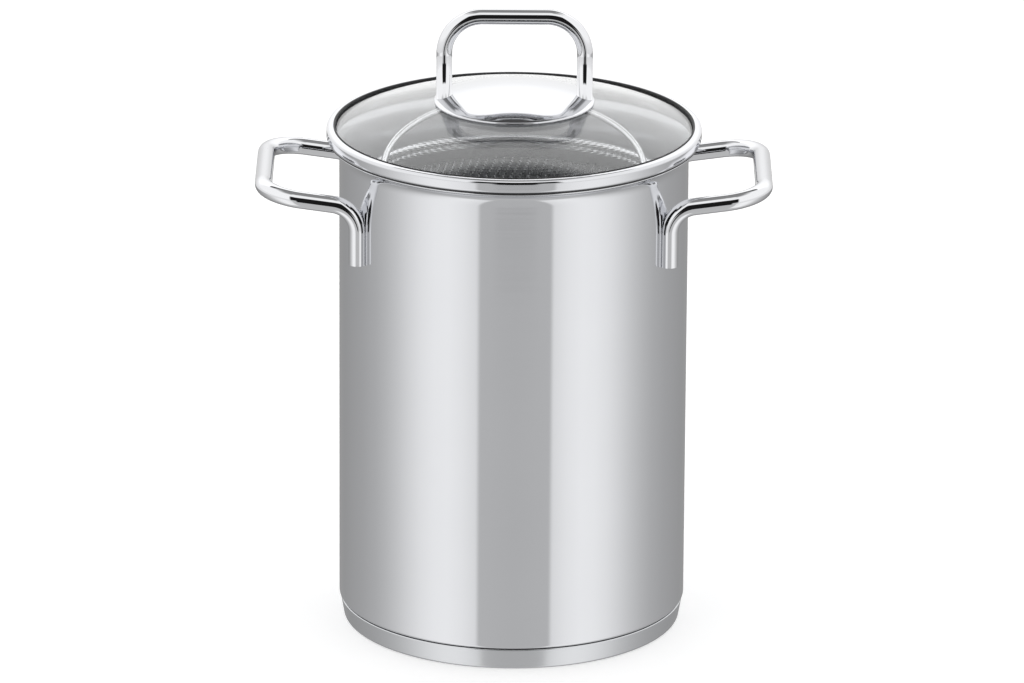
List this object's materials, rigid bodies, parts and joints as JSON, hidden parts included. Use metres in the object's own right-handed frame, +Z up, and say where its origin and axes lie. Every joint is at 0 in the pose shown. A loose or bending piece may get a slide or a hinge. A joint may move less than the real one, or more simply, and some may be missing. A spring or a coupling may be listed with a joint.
{
  "type": "water bath canner",
  "caption": "Tall round steel pot with a capsule base, bar handles, a domed glass lid with an arched handle, and a lift-out mesh basket with a folding bail.",
  "frame": {"origin": "middle of the base, on the surface that the pot stands on", "axes": "+Z up along the pot's axis, +X towards the right side handle, -Y towards the front; the bail leans back to +Y"},
  "size_m": [0.2384, 0.1734, 0.2946],
  "materials": {
    "polished_steel": "mirror-polished stainless steel",
    "satin_steel": "satin stainless steel",
    "aluminium": "plain aluminium core, hidden",
    "handle_bar": "mirror-polished stainless steel bar",
    "basket_wire": "polished stainless steel wire",
    "basket_sheet": "satin stainless steel sheet",
    "basket_mesh": "woven stainless steel wire mesh",
    "lid_glass": "clear tempered glass",
    "silicone": "black silicone"
  },
  "bodies": {
    "pot": {"pot_body": "polished_steel", "base_cap": "satin_steel", "base_core": "aluminium", "side_handle_left": "handle_bar", "side_handle_right": "handle_bar"},
    "lid": {"lid_glass": "lid_glass", "lid_band": "polished_steel", "glass_seal": "silicone", "handle_plate": "polished_steel", "lid_handle": "handle_bar", "handle_boss": "satin_steel", "upper_seal": "silicone", "lower_seal": "silicone", "lid_washer": "satin_steel", "lid_screw": "satin_steel"},
    "basket": {"basket_rim": "basket_wire", "basket_collar": "basket_sheet", "basket_wall": "basket_mesh", "basket_base_band": "basket_sheet", "basket_floor": "basket_mesh", "bail_ear_left": "basket_sheet", "bail_ear_right": "basket_sheet"},
    "bail": {"bail": "basket_wire"}
  },
  "joints": [
    {"name": "lid_lift", "type": "slide", "parent": "pot", "child": "lid", "axis": [0, 0, 1], "range_m": [0, 0.4]},
    {"name": "basket_lift", "type": "slide", "parent": "pot", "child": "basket", "axis": [0, 0, 1], "range_m": [0, 0.24]},
    {"name": "bail_swing", "type": "hinge", "parent": "basket", "child": "bail", "pos_m": [0, 0, 0.2156], "axis": [1, 0, 0], "range_deg": [0, 74]}
  ],
  "couplings": [
    {"joint": "basket_lift", "follows": "lid_lift", "ratio": 0.6},
    {"joint": "bail_swing", "follows": "lid_lift", "rad_per_m": 3.228}
  ]
}
